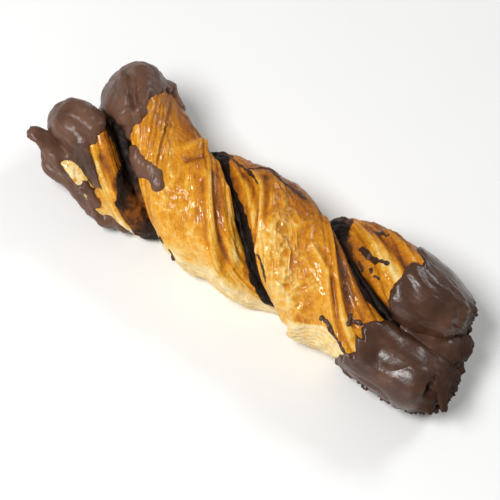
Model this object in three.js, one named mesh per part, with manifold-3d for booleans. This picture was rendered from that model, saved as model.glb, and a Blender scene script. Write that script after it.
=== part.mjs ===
// A chocolate-dipped danish twist: two strands of laminated dough wound once round a ribbon of
// chocolate filling, with both ends dipped in chocolate.
// Millimetres, +Z up. X runs along the twist, and the origin is on the table under its middle.
import * as THREE from "three";
import { ParametricGeometry } from "three/addons/geometries/ParametricGeometry.js";
import { mergeVertices } from "three/addons/utils/BufferGeometryUtils.js";
import Module from "manifold-3d";

// Driving dimensions. Angles are in degrees; round a strand, 0 points away from the filling.
// Stations are places along the twist.
const LOBE_OUT = 10.9; // from the filling to the middle of a strand
const LOBE_HALF_THICK = 12.5; // half a strand's thickness, away from the filling
const LOBE_HALF_WIDTH = 19.3; // half a strand's width, along the filling
const LOBE_POWER = 2.4; // 2 is an ellipse, more is squarer
const SQUASH = 0.86; // the height left after the twist has sunk under its own weight
const AXIS_HEIGHT = 18.6;
// The axis runs higher and further back where the ends are thick.
const START_RISE = { from: -37, to: -74, up: 4.2, back: 5.2 };
const END_RISE = { from: 14, to: 46, up: 2, back: 1.2 };

// Each strand: where it starts and ends, how long its rounded tips are, how far it swells
// towards them, and the waists where it is slimmer (or stouter, where the depth is negative).
const STRAND_A = {
  turn: 180,
  start: -89,
  end: 83,
  startTip: 10.5,
  endTip: 18,
  startSwell: 0.13,
  endSwell: 0.1,
  waists: [
    { at: -23, reach: 6, depth: 0.06 },
    { at: -9, reach: 8, depth: -0.06 },
    { at: 13, reach: 8, depth: 0.05 },
    { at: 31, reach: 8, depth: 0.07 },
  ],
};
const STRAND_B = {
  turn: 0,
  start: -80.5,
  end: 76.3,
  startTip: 13,
  endTip: 34,
  startSwell: 0.15,
  endSwell: 0.16,
  waists: [
    { at: -45, reach: 12, depth: 0.09 },
    { at: 20, reach: 8, depth: -0.1 },
  ],
};
const START_SWELL = { from: -51, to: -70 };
const END_SWELL = { from: 10, to: 52 };

// The twist: a steady turn over the middle, easing off towards both ends.
const TURN_FROM = 10;
const TURN_TO = 396;
const TURN_MIDDLE = -12.3; // the station where half of the turn is done
const TURN_REACH = 70; // how far the turn runs each way from there
const TURN_GAIN = 1.306; // steepness in the middle, against an even turn

// The filling between the strands.
const FILLING_HALF_GAP = 1.5;
const FILLING_HALF_WIDTH = 15.5;
const FILLING_FROM = -75;
const FILLING_TO = 72;
const FILLING_CLEARANCE = 0.85; // less towards the end, where the strands lie straight
const END_CLEARANCE = { from: 36, to: 48, left: 0.35 };
const OPEN_SEAM = { at: -57, reach: 15, extra: 3.5 }; // the seam that gapes

// Layers that show as ridges where the dough was cut.
const LAYER_STEP = 15;
const LAYER_DEPTH = 0.75;
const LAYER_BANDS = [
  { from: -118, to: -22, share: 1 },
  { from: 58, to: 118, share: 0.8 },
];

// The start of strand a has opened into a ledge and a foot, one below the other, with lips.
const TIERS = [
  { angle: -126, width: 12, height: -2.2 },
  { angle: -60, width: 9, height: -2.2 },
  { angle: -38, width: 8, height: 2 },
  { angle: -18, width: 9, height: -1.6 },
  { angle: 10, width: 15, height: 2 },
];
const TIERS_FROM = -61;
const TIERS_TO = -46;
const LIPS = [
  { angle: -35, width: 8, reach: 7.5, run: 18 },
  { angle: -98, width: 24, reach: 3, run: 14 },
];
const FOOT = { towards: 218, width: 28, height: 4.6, at: -59, reach: 9 }; // spread low on the front

// The chocolate coats.
const COAT = 1.9; // full thickness
const COAT_RIM = 1.3; // thickness at the edge
const COAT_TAPER = 5; // how far from its edge a coat reaches full thickness
const COAT_CLEARANCE = 0.9;
// The dough clears the table where the coats run under it.
const START_LIFT = { from: -37, to: -46 };
const END_LIFT = { from: 36, to: 43 };
// Where each coat ends: pairs of an angle round the strand and a station.
const COAT_EDGES = {
  aStart: [
    [-160, -66], [-115, -72], [-88, -70], [-74, -61], [-58, -70],
    [-38, -62], [-12, -54], [20, -47], [60, -48], [140, -62],
  ],
  bStart: [
    [-160, -58], [-110, -54], [-52, -53], [-10, -60], [35, -62],
    [58, -61], [73, -48], [90, -60], [135, -60],
  ],
  aEnd: [[-150, 48], [-118, 50], [-92, 45], [-72, 47], [-56, 44], [19, 43], [70, 44], [130, 48]],
  bEnd: [[-150, 48], [-40, 47], [38, 46], [60, 50], [75, 47], [110, 46], [140, 52]],
};
// The chocolate that joins the two tips at the end.
const WEB = { at: 66, reach: 15, halfThick: 9.5, halfWidth: 17, round: 14, rows: 8 };

// How finely the surfaces are cut: pairs of a value and the number of facets to the next value.
const MIDDLE_FROM = -59;
const MIDDLE_TO = 52;
const STRAND_ROUND = [[-180, 3], [-128, 10], [-70, 11], [-10, 5], [55, 10], [112, 5], [180, 0]];
const COAT_ROUND = [[-180, 4], [-120, 5], [-70, 10], [0, 7], [60, 8], [180, 0]];
const COAT_ROWS = 8;
const CORE_ROUND = [[-180, 3], [-128, 5], [-70, 11], [-10, 4], [55, 5], [112, 4], [180, 0]];
const FILLING_ROUND = 18;
const FILLING_ROWS = 26;
const WELD = 1e-4;

const radians = THREE.MathUtils.degToRad;
const mix = THREE.MathUtils.lerp;
const bell = (x, at, reach) => Math.exp(-(((x - at) / reach) ** 2));

// 0 before from, 1 after to and eased between them; from may be the greater.
function ease(from, to, x) {
  const t = THREE.MathUtils.clamp((x - from) / (to - from), 0, 1);
  return t * t * (3 - 2 * t);
}

const facetCount = (steps) => steps.reduce((sum, [, count]) => sum + count, 0);

// The value at a share of all the facets in a list of steps.
function walk(steps, share) {
  let left = share * facetCount(steps);
  let i = 0;
  while (i < steps.length - 2 && left > steps[i][1]) {
    left -= steps[i][1];
    i += 1;
  }
  return mix(steps[i][0], steps[i + 1][0], left / steps[i][1]);
}

// The turn of the filling about the axis at a station.
function turnAt(x) {
  const u = THREE.MathUtils.clamp((x - TURN_MIDDLE) / TURN_REACH, -1, 1);
  const power = TURN_GAIN / (TURN_GAIN - 1);
  const share = TURN_GAIN * u - (TURN_GAIN - 1) * Math.sign(u) * Math.abs(u) ** power;
  return mix(TURN_FROM, TURN_TO, (1 + share) / 2);
}

// The point at p away from the filling and q along it, on a line turned about the axis,
// and no lower than the table.
function place(x, turn, p, q, table, target) {
  const startRise = ease(START_RISE.from, START_RISE.to, x);
  const endRise = ease(END_RISE.from, END_RISE.to, x);
  const axisHeight = AXIS_HEIGHT + START_RISE.up * startRise + END_RISE.up * endRise;
  const cos = Math.cos(radians(turn));
  const sin = Math.sin(radians(turn));
  const height = axisHeight + SQUASH * (p * sin + q * cos);
  const back = START_RISE.back * startRise + END_RISE.back * endRise;
  return target.set(x, back + p * cos - q * sin, Math.max(height, table));
}

const halfGapAt = (x) => FILLING_HALF_GAP + OPEN_SEAM.extra * bell(x, OPEN_SEAM.at, OPEN_SEAM.reach);

function swellAt(strand, x) {
  let swell = 1;
  swell += strand.startSwell * ease(START_SWELL.from, START_SWELL.to, x);
  swell += strand.endSwell * ease(END_SWELL.from, END_SWELL.to, x);
  for (const waist of strand.waists) swell -= waist.depth * bell(x, waist.at, waist.reach);
  return swell;
}

// p kept above the flat side of a strand, with a rounded corner.
function keepAbove(flat, p) {
  const corner = 1.2;
  return p > flat + corner ? p : flat + corner * Math.exp((p - flat) / corner - 1);
}

// 1 round a strand's outside, and 0 at the middle of its flat side.
const offFlat = (angle) => ease(180, 130, Math.abs(angle));

// How far the cut layers and the opened end stand out. A filled surface runs over the ridges' tops.
function reliefAt(strand, x, angle, filled) {
  const shown = ease(-66, -55, x) * ease(61, 50, x);
  const drift = 9 * Math.sin(0.07 * x + radians(strand.turn));
  const ridge = filled ? 1 : Math.cos((2 * Math.PI * (angle + drift)) / LAYER_STEP);
  let height = 0;
  for (const band of LAYER_BANDS) {
    const inside = ease(band.from, band.from + 14, angle) * ease(band.to, band.to - 14, angle);
    height += LAYER_DEPTH * band.share * shown * inside * ridge;
  }
  if (strand === STRAND_A) {
    const opened = ease(TIERS_TO, TIERS_FROM, x) * offFlat(angle);
    for (const tier of TIERS) height += opened * tier.height * bell(angle, tier.angle, tier.width);
    const footAngle = 1.5 * (FOOT.towards - turnAt(x) - strand.turn);
    const spread = bell(x, FOOT.at, FOOT.reach) * offFlat(angle);
    height += FOOT.height * spread * bell(angle, footAngle, FOOT.width);
  }
  return height;
}

// The share of its full section that a strand has near its rounded tips.
function tipAt(strand, x, grow) {
  const fromStart = (x - strand.start + grow) / strand.startTip;
  const fromEnd = (strand.end + grow - x) / strand.endTip;
  const share = THREE.MathUtils.clamp(Math.min(fromStart, fromEnd), 0, 1);
  return (1 - (1 - share) ** LOBE_POWER) ** (1 / LOBE_POWER);
}

// The radius of a plain strand, an oval with rather square corners.
function ovalAt(angle) {
  const thick = Math.abs(Math.cos(radians(angle)) / LOBE_HALF_THICK);
  const wide = Math.abs(Math.sin(radians(angle)) / LOBE_HALF_WIDTH);
  return (thick ** LOBE_POWER + wide ** LOBE_POWER) ** (-1 / LOBE_POWER);
}

// A point on a strand, or on a skin that stands grow outside it. A skin can bridge the seam,
// and it reaches down to the table, which the dough clears by a coat's thickness at both ends.
function strandPoint(strand, x, angle, grow, bridge, target) {
  const tip = tipAt(strand, x, grow);
  const swell = swellAt(strand, x);
  const radius = tip * (swell * ovalAt(angle) + reliefAt(strand, x, angle, grow > 0) + grow);
  const flat = mix(halfGapAt(x) - grow, -grow, bridge);
  const p = keepAbove(flat, LOBE_OUT * swell + radius * Math.cos(radians(angle)));
  const q = radius * Math.sin(radians(angle));
  const lift = ease(START_LIFT.from, START_LIFT.to, x) + ease(END_LIFT.from, END_LIFT.to, x);
  place(x, turnAt(x) + strand.turn, p, q, Math.max(0, COAT * lift - grow), target);
  if (strand === STRAND_A) {
    for (const lip of LIPS) {
      const out = lip.reach * bell(angle, lip.angle, lip.width) * offFlat(angle);
      target.x -= out * ease(0, 0.6, tip) * ease(strand.start + lip.run, strand.start, x);
    }
  }
  return target;
}

// A closed surface as a solid, without the empty facets at its poles.
function solidOf(surface, roundFacets, rows) {
  const geometry = new ParametricGeometry(surface, roundFacets, rows);
  geometry.deleteAttribute("normal");
  geometry.deleteAttribute("uv");
  const merged = mergeVertices(geometry, WELD);
  const corners = merged.index.array;
  const triVerts = [];
  for (let i = 0; i < corners.length; i += 3) {
    const [a, b, c] = corners.slice(i, i + 3);
    if (a !== b && b !== c && c !== a) triVerts.push(a, b, c);
  }
  const vertProperties = merged.attributes.position.array;
  const mesh = new wasm.Mesh({ numProp: 3, vertProperties, triVerts: new Uint32Array(triVerts) });
  return new wasm.Manifold(mesh);
}

// A strand of dough, or the room that it needs where grow is more than 0.
function strandSolid(strand, round, grow) {
  const from = strand.start - grow;
  const to = strand.end + grow;
  const length = [[from, 3], [from + 4, 5], [MIDDLE_FROM, 28], [MIDDLE_TO, 5], [to - 4, 3], [to, 0]];
  const surface = (u, v, target) => strandPoint(strand, walk(length, v), walk(round, u), grow, 0, target);
  return solidOf(surface, facetCount(round), facetCount(length));
}

// How far a strand's flat side stands from the middle of the filling, q along it.
function wallAt(strand, x, q) {
  const swell = swellAt(strand, x);
  const outside = Math.abs(q / (LOBE_HALF_WIDTH * swell)) ** LOBE_POWER;
  const bulge = Math.max(0, 1 - outside) ** (1 / LOBE_POWER);
  return keepAbove(halfGapAt(x), swell * (LOBE_OUT - LOBE_HALF_THICK * bulge));
}

// The ribbon of filling, grown for the room that it needs. It is thin between the strands
// and fills the seam where that gapes.
function fillingSolid(grow) {
  const surface = (u, v, target) => {
    const x = mix(FILLING_FROM - grow, FILLING_TO + grow, v);
    const around = -2 * Math.PI * u;
    const end = Math.max(0, 1 - Math.abs(2 * v - 1) ** 12) ** 0.5;
    const q = Math.cos(around) * end * (FILLING_HALF_WIDTH * swellAt(STRAND_A, x) + grow);
    const straight = ease(END_CLEARANCE.from, END_CLEARANCE.to, x);
    const clearance = mix(FILLING_CLEARANCE, END_CLEARANCE.left, straight);
    const half = Math.min(wallAt(STRAND_A, x, q), wallAt(STRAND_B, x, q)) - clearance + grow;
    const p = Math.sign(Math.sin(around)) * Math.abs(Math.sin(around)) ** 0.5 * end * half;
    return place(x, turnAt(x), p, q, 1 - grow, target);
  };
  return solidOf(surface, FILLING_ROUND, FILLING_ROWS);
}

// The station where a coat ends at an angle round its strand.
function edgeAt(edge, angle) {
  for (let i = 0; i < edge.length; i += 1) {
    const next = edge[(i + 1) % edge.length];
    const span = (next[0] - edge[i][0] + 360) % 360;
    const past = (angle - edge[i][0] + 720) % 360;
    if (past < span) return mix(edge[i][1], next[1], ease(0, span, past));
  }
  return edge[0][1];
}

// The outside of the coat on one tip of a strand, closed through the middle of the dough.
function coatOutside(strand, edge, tipStation) {
  const outward = Math.sign(tipStation);
  const surface = (u, v, target) => {
    const angle = walk(COAT_ROUND, outward > 0 ? u : 1 - u);
    const row = v * COAT_ROWS;
    if (row < 1) {
      const inside = mix(edgeAt(edge, 90), tipStation, 0.4);
      return place(inside, turnAt(inside) + strand.turn, LOBE_OUT, 0, 0, target);
    }
    const rim = edgeAt(edge, angle);
    const share = Math.sin((Math.PI / 2) * ((row - 1) / (COAT_ROWS - 1)));
    const x = mix(rim, tipStation + outward * COAT, share);
    const grow = mix(COAT_RIM, COAT, ease(0, COAT_TAPER, Math.abs(x - rim)));
    return strandPoint(strand, x, angle, grow, ease(2, 12, Math.abs(x - rim)), target);
  };
  return solidOf(surface, facetCount(COAT_ROUND), COAT_ROWS);
}

function webSolid() {
  const surface = (u, v, target) => {
    const around = -2 * Math.PI * u;
    const share = Math.sin(Math.PI * v);
    const x = WEB.at - WEB.reach * Math.cos(Math.PI * v);
    const p = WEB.halfThick * share * Math.sin(around);
    const q = WEB.halfWidth * share * Math.cos(around);
    return place(x, turnAt(x), p, q, 0, target);
  };
  return solidOf(surface, WEB.round, WEB.rows);
}

const largestPiece = (solid) =>
  solid.decompose().reduce((best, piece) => (piece.volume() > best.volume() ? piece : best));

function node(name, solid, material) {
  const { vertProperties, triVerts } = solid.getMesh();
  const geometry = new THREE.BufferGeometry();
  geometry.setAttribute("position", new THREE.BufferAttribute(vertProperties, 3));
  geometry.setIndex(new THREE.BufferAttribute(triVerts, 1));
  geometry.computeVertexNormals();
  const mesh = new THREE.Mesh(geometry, material);
  mesh.name = name;
  return mesh;
}

const wasm = await Module();
wasm.setup();

const crust = new THREE.MeshStandardMaterial({ color: 0xd99a38, roughness: 0.45, metalness: 0 });
const chocolate = new THREE.MeshStandardMaterial({ color: 0x64483c, roughness: 0.35, metalness: 0 });
const darkFilling = new THREE.MeshStandardMaterial({ color: 0x2c1a13, roughness: 0.4, metalness: 0 });

const strandA = strandSolid(STRAND_A, STRAND_ROUND, 0);
const strandB = strandSolid(STRAND_B, STRAND_ROUND, 0);
const filling = fillingSolid(0);

// The coats leave room for everything that they cover.
const covered = [
  strandSolid(STRAND_A, CORE_ROUND, COAT_CLEARANCE),
  strandSolid(STRAND_B, CORE_ROUND, COAT_CLEARANCE),
  fillingSolid(FILLING_CLEARANCE),
].reduce((sum, solid) => sum.add(solid));
function coats(tipName, edgeA, edgeB) {
  const onA = coatOutside(STRAND_A, edgeA, STRAND_A[tipName]);
  const onB = coatOutside(STRAND_B, edgeB, STRAND_B[tipName]);
  return onA.add(onB);
}
const dipLeft = largestPiece(coats("start", COAT_EDGES.aStart, COAT_EDGES.bStart).subtract(covered));
const dipRight = largestPiece(coats("end", COAT_EDGES.aEnd, COAT_EDGES.bEnd).add(webSolid()).subtract(covered));

const twist = new THREE.Group();
twist.add(node("strand_a", strandA, crust));
twist.add(node("strand_b", strandB, crust));
twist.add(node("filling", filling, darkFilling));
twist.add(node("dip_left", dipLeft, chocolate));
twist.add(node("dip_right", dipRight, chocolate));

// The origin goes to the middle of the footprint, on the table.
const box = new THREE.Box3().setFromObject(twist);
const middle = box.getCenter(new THREE.Vector3());
for (const mesh of twist.children) mesh.geometry.translate(-middle.x, -middle.y, -box.min.z);

export default twist;
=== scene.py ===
"""The looks of a chocolate-dipped danish twist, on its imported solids.

Lengths are in millimetres until a mesh is made. Angles are in degrees. A station is a place along
the twist, and round a strand angle 0 points away from the filling.
"""

import math
from types import SimpleNamespace

import bpy
import numpy as np
from mathutils import Matrix, Vector


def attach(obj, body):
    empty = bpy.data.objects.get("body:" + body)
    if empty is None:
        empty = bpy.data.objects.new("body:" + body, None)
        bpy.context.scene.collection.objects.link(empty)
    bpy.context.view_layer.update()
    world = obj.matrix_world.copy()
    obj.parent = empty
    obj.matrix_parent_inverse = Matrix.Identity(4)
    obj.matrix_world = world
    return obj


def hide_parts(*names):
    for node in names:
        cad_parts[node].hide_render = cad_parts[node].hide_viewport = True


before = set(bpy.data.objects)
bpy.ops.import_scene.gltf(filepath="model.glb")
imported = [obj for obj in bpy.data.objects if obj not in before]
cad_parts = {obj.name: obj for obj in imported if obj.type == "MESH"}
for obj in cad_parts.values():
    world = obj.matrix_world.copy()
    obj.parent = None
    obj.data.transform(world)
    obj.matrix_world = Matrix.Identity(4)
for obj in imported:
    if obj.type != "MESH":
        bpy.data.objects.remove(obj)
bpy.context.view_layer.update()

MM = 0.001

# The twist's own sizes, the same as the solids'.
LOBE_OUT = 10.9
LOBE_HALF_THICK = 12.5
LOBE_HALF_WIDTH = 19.3
LOBE_POWER = 2.4
SQUASH = 0.86
AXIS_HEIGHT = 18.6
START_RISE = SimpleNamespace(start=-37, stop=-74, up=4.2, back=5.2)
END_RISE = SimpleNamespace(start=14, stop=46, up=2, back=1.2)
STRAND_A = SimpleNamespace(
    name="strand_a", turn=180, start=-89, end=83, start_tip=10.5, end_tip=18,
    start_swell=0.13, end_swell=0.1, waists=[(-23, 6, 0.06), (-9, 8, -0.06), (13, 8, 0.05), (31, 8, 0.07)],
)
STRAND_B = SimpleNamespace(
    name="strand_b", turn=0, start=-80.5, end=76.3, start_tip=13, end_tip=34,
    start_swell=0.15, end_swell=0.16, waists=[(-45, 12, 0.09), (20, 8, -0.1)],
)
TURN_FROM = 10
TURN_TO = 396
TURN_MIDDLE = -12.3
TURN_REACH = 70
TURN_GAIN = 1.306
TIERS = [(-126, 12, -2.2), (-60, 10, -2.8), (-37, 7, 2), (-18, 9, -2), (10, 15, 2)]
LIPS = [
    SimpleNamespace(angle=-41, width=7.5, reach=9, run=17, inner=0.45, outer=0.9),
    SimpleNamespace(angle=-98, width=24, reach=3, run=14, inner=0, outer=0.6),
]
NOTCH = SimpleNamespace(angle=-52, width=12, depth=5, start=-72, stop=-84)
FOOT = SimpleNamespace(towards=218, width=28, height=4.6, at=-59, reach=9)
COAT = 1.9
HALF_GAP = 1.5
GAPE = SimpleNamespace(at=-57, reach=15, half=3.5)
# The stretches where the ends swell, where strand a opens, and where the coats lift the dough.
START_SWELL = (-51, -70)
END_SWELL = (10, 52)
OPENED = (-46, -61)
START_LIFT = (-37, -46)
END_LIFT = (36, 43)
ARC = 0.3  # millimetres of surface for a degree round a strand, about


def ease(start, stop, x):
    """0 before start, 1 after stop and eased between them; start may be the greater."""
    t = np.clip((x - start) / (stop - start), 0, 1)
    return t * t * (3 - 2 * t)


def bell(x, at, reach):
    """1 at a place, and soon 0 beyond its reach."""
    return np.exp(-(((x - at) / reach) ** 2))


def hashed(cells, seed):
    """A steady random number from 0 to 1 for each cell of a lattice."""
    primes = np.array([374761393, 668265263, 2246822519], np.uint64)
    mask = np.uint64(0xFFFFFFFF)
    h = (cells.astype(np.int64).astype(np.uint64) * primes).sum(-1) + np.uint64(seed * 3266489917)
    h &= mask
    h = ((h ^ (h >> np.uint64(15))) * np.uint64(2246822519)) & mask
    h = ((h ^ (h >> np.uint64(13))) * np.uint64(3266489917)) & mask
    return (h ^ (h >> np.uint64(16))) / 2.0**32


def noise(points, size, seed):
    """Smooth noise from -1 to 1 with bumps about size across."""
    scaled = points / size
    cells = np.floor(scaled)
    t = scaled - cells
    t = t * t * (3 - 2 * t)
    total = np.zeros(points.shape[:-1])
    for corner in np.ndindex(2, 2, 2):
        weight = np.where(np.array(corner, bool), t, 1 - t).prod(-1)
        total += weight * hashed(cells + np.array(corner), seed)
    return 2 * total - 1


def layered_noise(points, size, seed, layers=3):
    """Noise with finer and weaker noise on top."""
    return sum(noise(points, size / 2**i, seed + i) / 2**i for i in range(layers))


def ridges(points, size, seed, power=3):
    """Ridges from 0 to 1 along the lines where smooth noise changes its sign."""
    return (1 - np.abs(noise(points, size, seed))) ** power


def stacked(*coordinates):
    """Points from their coordinates, each a grid or a number."""
    return np.stack(np.broadcast_arrays(*coordinates), -1).astype(float)


def turn_at(x):
    """How far the twist has turned at a station."""
    u = np.clip((x - TURN_MIDDLE) / TURN_REACH, -1, 1)
    power = TURN_GAIN / (TURN_GAIN - 1)
    share = TURN_GAIN * u - (TURN_GAIN - 1) * np.sign(u) * np.abs(u) ** power
    return TURN_FROM + (TURN_TO - TURN_FROM) * (1 + share) / 2


def axis_at(x):
    """How far back and how high the axis of the twist is."""
    start = ease(START_RISE.start, START_RISE.stop, x)
    end = ease(END_RISE.start, END_RISE.stop, x)
    back = START_RISE.back * start + END_RISE.back * end
    return back, AXIS_HEIGHT + START_RISE.up * start + END_RISE.up * end


def place(x, turn, p, q, table):
    """The point at p away from the filling and q along it, no lower than the table."""
    back, height = axis_at(x)
    cos = np.cos(np.radians(turn))
    sin = np.sin(np.radians(turn))
    z = height + SQUASH * (p * sin + q * cos)
    return stacked(x, back + p * cos - q * sin, np.maximum(z, table))


def half_gap_at(x):
    """Half the width of the seam between the strands."""
    return HALF_GAP + GAPE.half * bell(x, GAPE.at, GAPE.reach)


def swell_at(strand, x):
    """How many times its plain size a strand is at a station."""
    swell = 1 + strand.start_swell * ease(*START_SWELL, x) + strand.end_swell * ease(*END_SWELL, x)
    for at, reach, depth in strand.waists:
        swell = swell - depth * bell(x, at, reach)
    return swell


def keep_above(flat, p):
    """p, bent smoothly where it would go below a flat wall."""
    corner = 1.2
    bent = flat + corner * np.exp(np.minimum((p - flat) / corner - 1, 0))
    return np.where(p > flat + corner, p, bent)


def opened_end(strand, x, angle):
    """The tiers and the foot at the opened start of strand a."""
    if strand is not STRAND_A:
        return np.zeros(np.broadcast(x, angle).shape)
    opened = ease(*OPENED, x)
    height = sum(opened * tier * bell(angle, at, width) for at, width, tier in TIERS)
    height = height - NOTCH.depth * ease(NOTCH.start, NOTCH.stop, x) * bell(angle, NOTCH.angle, NOTCH.width)
    foot_angle = 1.5 * (FOOT.towards - turn_at(x) - strand.turn)
    spread = bell(x, FOOT.at, FOOT.reach) * ease(180, 120, np.abs(angle))
    return height + FOOT.height * spread * bell(angle, foot_angle, FOOT.width)


def strand_point(strand, x, angle):
    """The plain surface of a strand, before its layers and flakes."""
    cos = np.cos(np.radians(angle))
    sin = np.sin(np.radians(angle))
    from_tips = np.minimum((x - strand.start) / strand.start_tip, (strand.end - x) / strand.end_tip)
    share = np.clip(from_tips, 0, 1)
    tip = (1 - (1 - share) ** LOBE_POWER) ** (1 / LOBE_POWER)
    swell = swell_at(strand, x)
    thick = np.abs(cos / LOBE_HALF_THICK) ** LOBE_POWER
    wide = np.abs(sin / LOBE_HALF_WIDTH) ** LOBE_POWER
    radius = tip * (swell * (thick + wide) ** (-1 / LOBE_POWER) + opened_end(strand, x, angle))
    p = keep_above(half_gap_at(x), LOBE_OUT * swell + radius * cos)
    lift = COAT * (ease(*START_LIFT, x) + ease(*END_LIFT, x))
    points = place(x, turn_at(x) + strand.turn, p, radius * sin, lift)
    if strand is STRAND_A:
        for lip in LIPS:
            out = lip.reach * bell(angle, lip.angle, lip.width)
            near_end = ease(strand.start + lip.run, strand.start, x)
            points[..., 0] -= out * ease(lip.inner, lip.outer, tip) * near_end
    return points


def stations(strand, low, high, step):
    """Stations from low to high, closer together in the rounded tips."""
    in_tip = np.sin(np.linspace(0.02, 1, 34)[:-1] * np.pi / 2) ** 2.6
    before, after = [], []
    if low <= strand.start:
        before = strand.start + strand.start_tip * in_tip
        low = strand.start + strand.start_tip
    if high >= strand.end:
        after = (strand.end - strand.end_tip * in_tip)[::-1]
        high = strand.end - strand.end_tip
    return np.concatenate([before, np.linspace(low, high, int((high - low) / step)), after])


def angles(fine, coarse):
    """Angles round a strand, closer together where it shows."""
    shown = np.linspace(-128, 128, fine)
    hidden = np.linspace(128, 232, coarse + 2)[1:-1]
    return np.concatenate([shown, hidden])


def normals_of(grid):
    """Outward normals of a grid whose columns close on themselves."""
    along = np.gradient(grid, axis=0)
    around = np.roll(grid, -1, 1) - np.roll(grid, 1, 1)
    normal = np.cross(along, around)
    length = np.linalg.norm(normal, axis=-1, keepdims=True)
    normal = normal / np.maximum(length, 1e-9)
    outward = grid - grid.mean(1, keepdims=True)
    return normal * np.sign((normal * outward).sum(-1).mean())


def surface(strand, xs, around):
    """A strand's plain surface as a grid, with all that its details are worked out from."""
    x = np.broadcast_to(xs[:, None], (len(xs), len(around)))
    angle = np.broadcast_to((around[None, :] + 180) % 360 - 180, x.shape)
    points = strand_point(strand, x, angle)
    back, height = axis_at(x)
    facing = np.degrees(np.arctan2(points[..., 2] - height, points[..., 1] - back)) % 360
    return SimpleNamespace(
        strand=strand, x=x, angle=angle, points=points, normals=normals_of(points), facing=facing
    )


def pleat_profile(s, step, slant, seed):
    """Ridges that run along a strand: their height from 0 to 1, where each is across its own
    width, and a random number for each ridge."""
    drift = 9 * np.sin(0.07 * s.x + np.radians(s.strand.turn)) + slant * s.x
    drift = drift + 8 * noise(stacked(s.x / 24, s.angle / 50, 0), 1, seed)
    u = (s.angle + drift) / step
    u = u + 0.55 * noise(stacked(u / 1.7, s.x / 40, 0), 1, seed + 4)
    index = np.floor(u)
    across = u - index
    lot = hashed(stacked(index, 0, 0), seed + 5)
    wave = noise(stacked(s.x / 15, 9.7 * index, 0), 1, seed + 6)
    strength = np.clip(1.25 * lot + 0.7 * wave, 0, 1.3)
    lean = 0.3 + 0.4 * hashed(stacked(index, 1, 0), seed + 5)
    rise = np.where(across < lean, across / lean, (1 - across) / (1 - lean))
    return np.sin(np.pi / 2 * rise) * strength, across, lot


def flake_cells(along, across, seed):
    """Patches of skin: how far each point is from its patch's edge, the patch's random number,
    and where the point is in it."""
    spot = stacked(along, across, 0)
    home = np.floor(spot)
    nearest = np.full(along.shape, 9.0)
    second = np.full(along.shape, 9.0)
    lot = np.zeros(along.shape)
    offset = np.zeros(along.shape)
    for i in (-1, 0, 1):
        for j in (-1, 0, 1):
            cell = home + np.array([i, j, 0])
            u = spot[..., 0] - cell[..., 0] - hashed(cell, seed)
            v = spot[..., 1] - cell[..., 1] - hashed(cell, seed + 1)
            distance = np.hypot(u, v)
            closer = distance < nearest
            second = np.where(closer, nearest, np.minimum(second, distance))
            nearest = np.where(closer, distance, nearest)
            lot = np.where(closer, hashed(cell, seed + 2), lot)
            heading = 2 * np.pi * hashed(cell, seed + 3)
            offset = np.where(closer, u * np.cos(heading) + v * np.sin(heading), offset)
    return second - nearest, lot, offset


def away_from(s, path):
    """How far each point of a strand is from a path over it, given as stations and angles."""
    at, around = np.array(path, float).T
    legs = np.linspace(0, len(at) - 1, 4 * len(at) - 3)
    known = np.arange(len(at))
    bends = strand_point(s.strand, np.interp(legs, known, at), np.interp(legs, known, around))
    reach = 9
    low, high = np.searchsorted(s.x[:, 0], [at.min() - reach, at.max() + reach])
    points = s.points[low:high]
    distance = np.full(s.x.shape, 99.0)
    for start, stop in zip(bends, bends[1:]):
        leg = stop - start
        t = np.clip((points - start) @ leg / (leg @ leg), 0, 1)
        gap = np.linalg.norm(points - start - t[..., None] * leg, axis=-1)
        distance[low:high] = np.minimum(distance[low:high], gap)
    return distance


def strokes_on(s, strokes):
    """How far inside rounded strokes on a strand each point is. A stroke is a list of bends: station,
    angle, and half width of the leg that starts there."""
    cover = np.full(s.x.shape, -9.0)
    for bends in strokes:
        for (at, angle, half), (next_at, next_angle, _) in zip(bends, bends[1:]):
            cover = np.maximum(cover, half - away_from(s, [(at, angle), (next_at, next_angle)]))
    return cover


def spots_at(s, spots):
    """The sum of a strand's soft spots: station, angle, reach along, reach round, amount."""
    total = np.zeros(s.x.shape)
    for at, angle, reach, reach_round, amount in spots.get(s.strand.name, []):
        total += amount * bell(s.x, at, reach) * bell(s.angle, angle, reach_round)
    return total


# Flakes lifted off each strand: station, angle, half length, half width, lean, thickness.
FLAKES = {
    "strand_a": [
        (-8, 45, 8, 6, 35, 0.35), (8, 10, 9, 5, 20, 0.35), (16, 38, 6, 5, -30, 0.3),
        (28, -20, 8, 4, 15, 0.35), (-62, -100, 5, 3, 10, 0.3),
    ],
    "strand_b": [
        (-41, -42, 6.5, 4.5, 20, 0.55), (-51, 56, 7, 3.2, 62, 0.4), (-33, 10, 8, 5, 25, 0.3),
        (-22, 40, 7, 5, -20, 0.3), (36, 78, 6, 3, 5, 0.3),
    ],
}


def flakes_at(s):
    """How far the flakes stand out."""
    height = np.zeros(s.x.shape)
    uneven = 0.2 * layered_noise(stacked(s.x, ARC * s.angle, 0), 3.2, 71)
    for at, angle, half_long, half_wide, lean, thick in FLAKES[s.strand.name]:
        along = s.x - at
        across = ARC * (s.angle - angle)
        cos = math.cos(math.radians(lean))
        sin = math.sin(math.radians(lean))
        u = (along * cos + across * sin) / half_long
        v = (across * cos - along * sin) / half_wide
        inside = 1 - (np.abs(u) ** 3 + np.abs(v) ** 3) ** (1 / 3) + uneven
        height += thick * ease(0, 0.12, inside) * (0.35 + 0.65 * ease(-1, 1, u))
    return height


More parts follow.
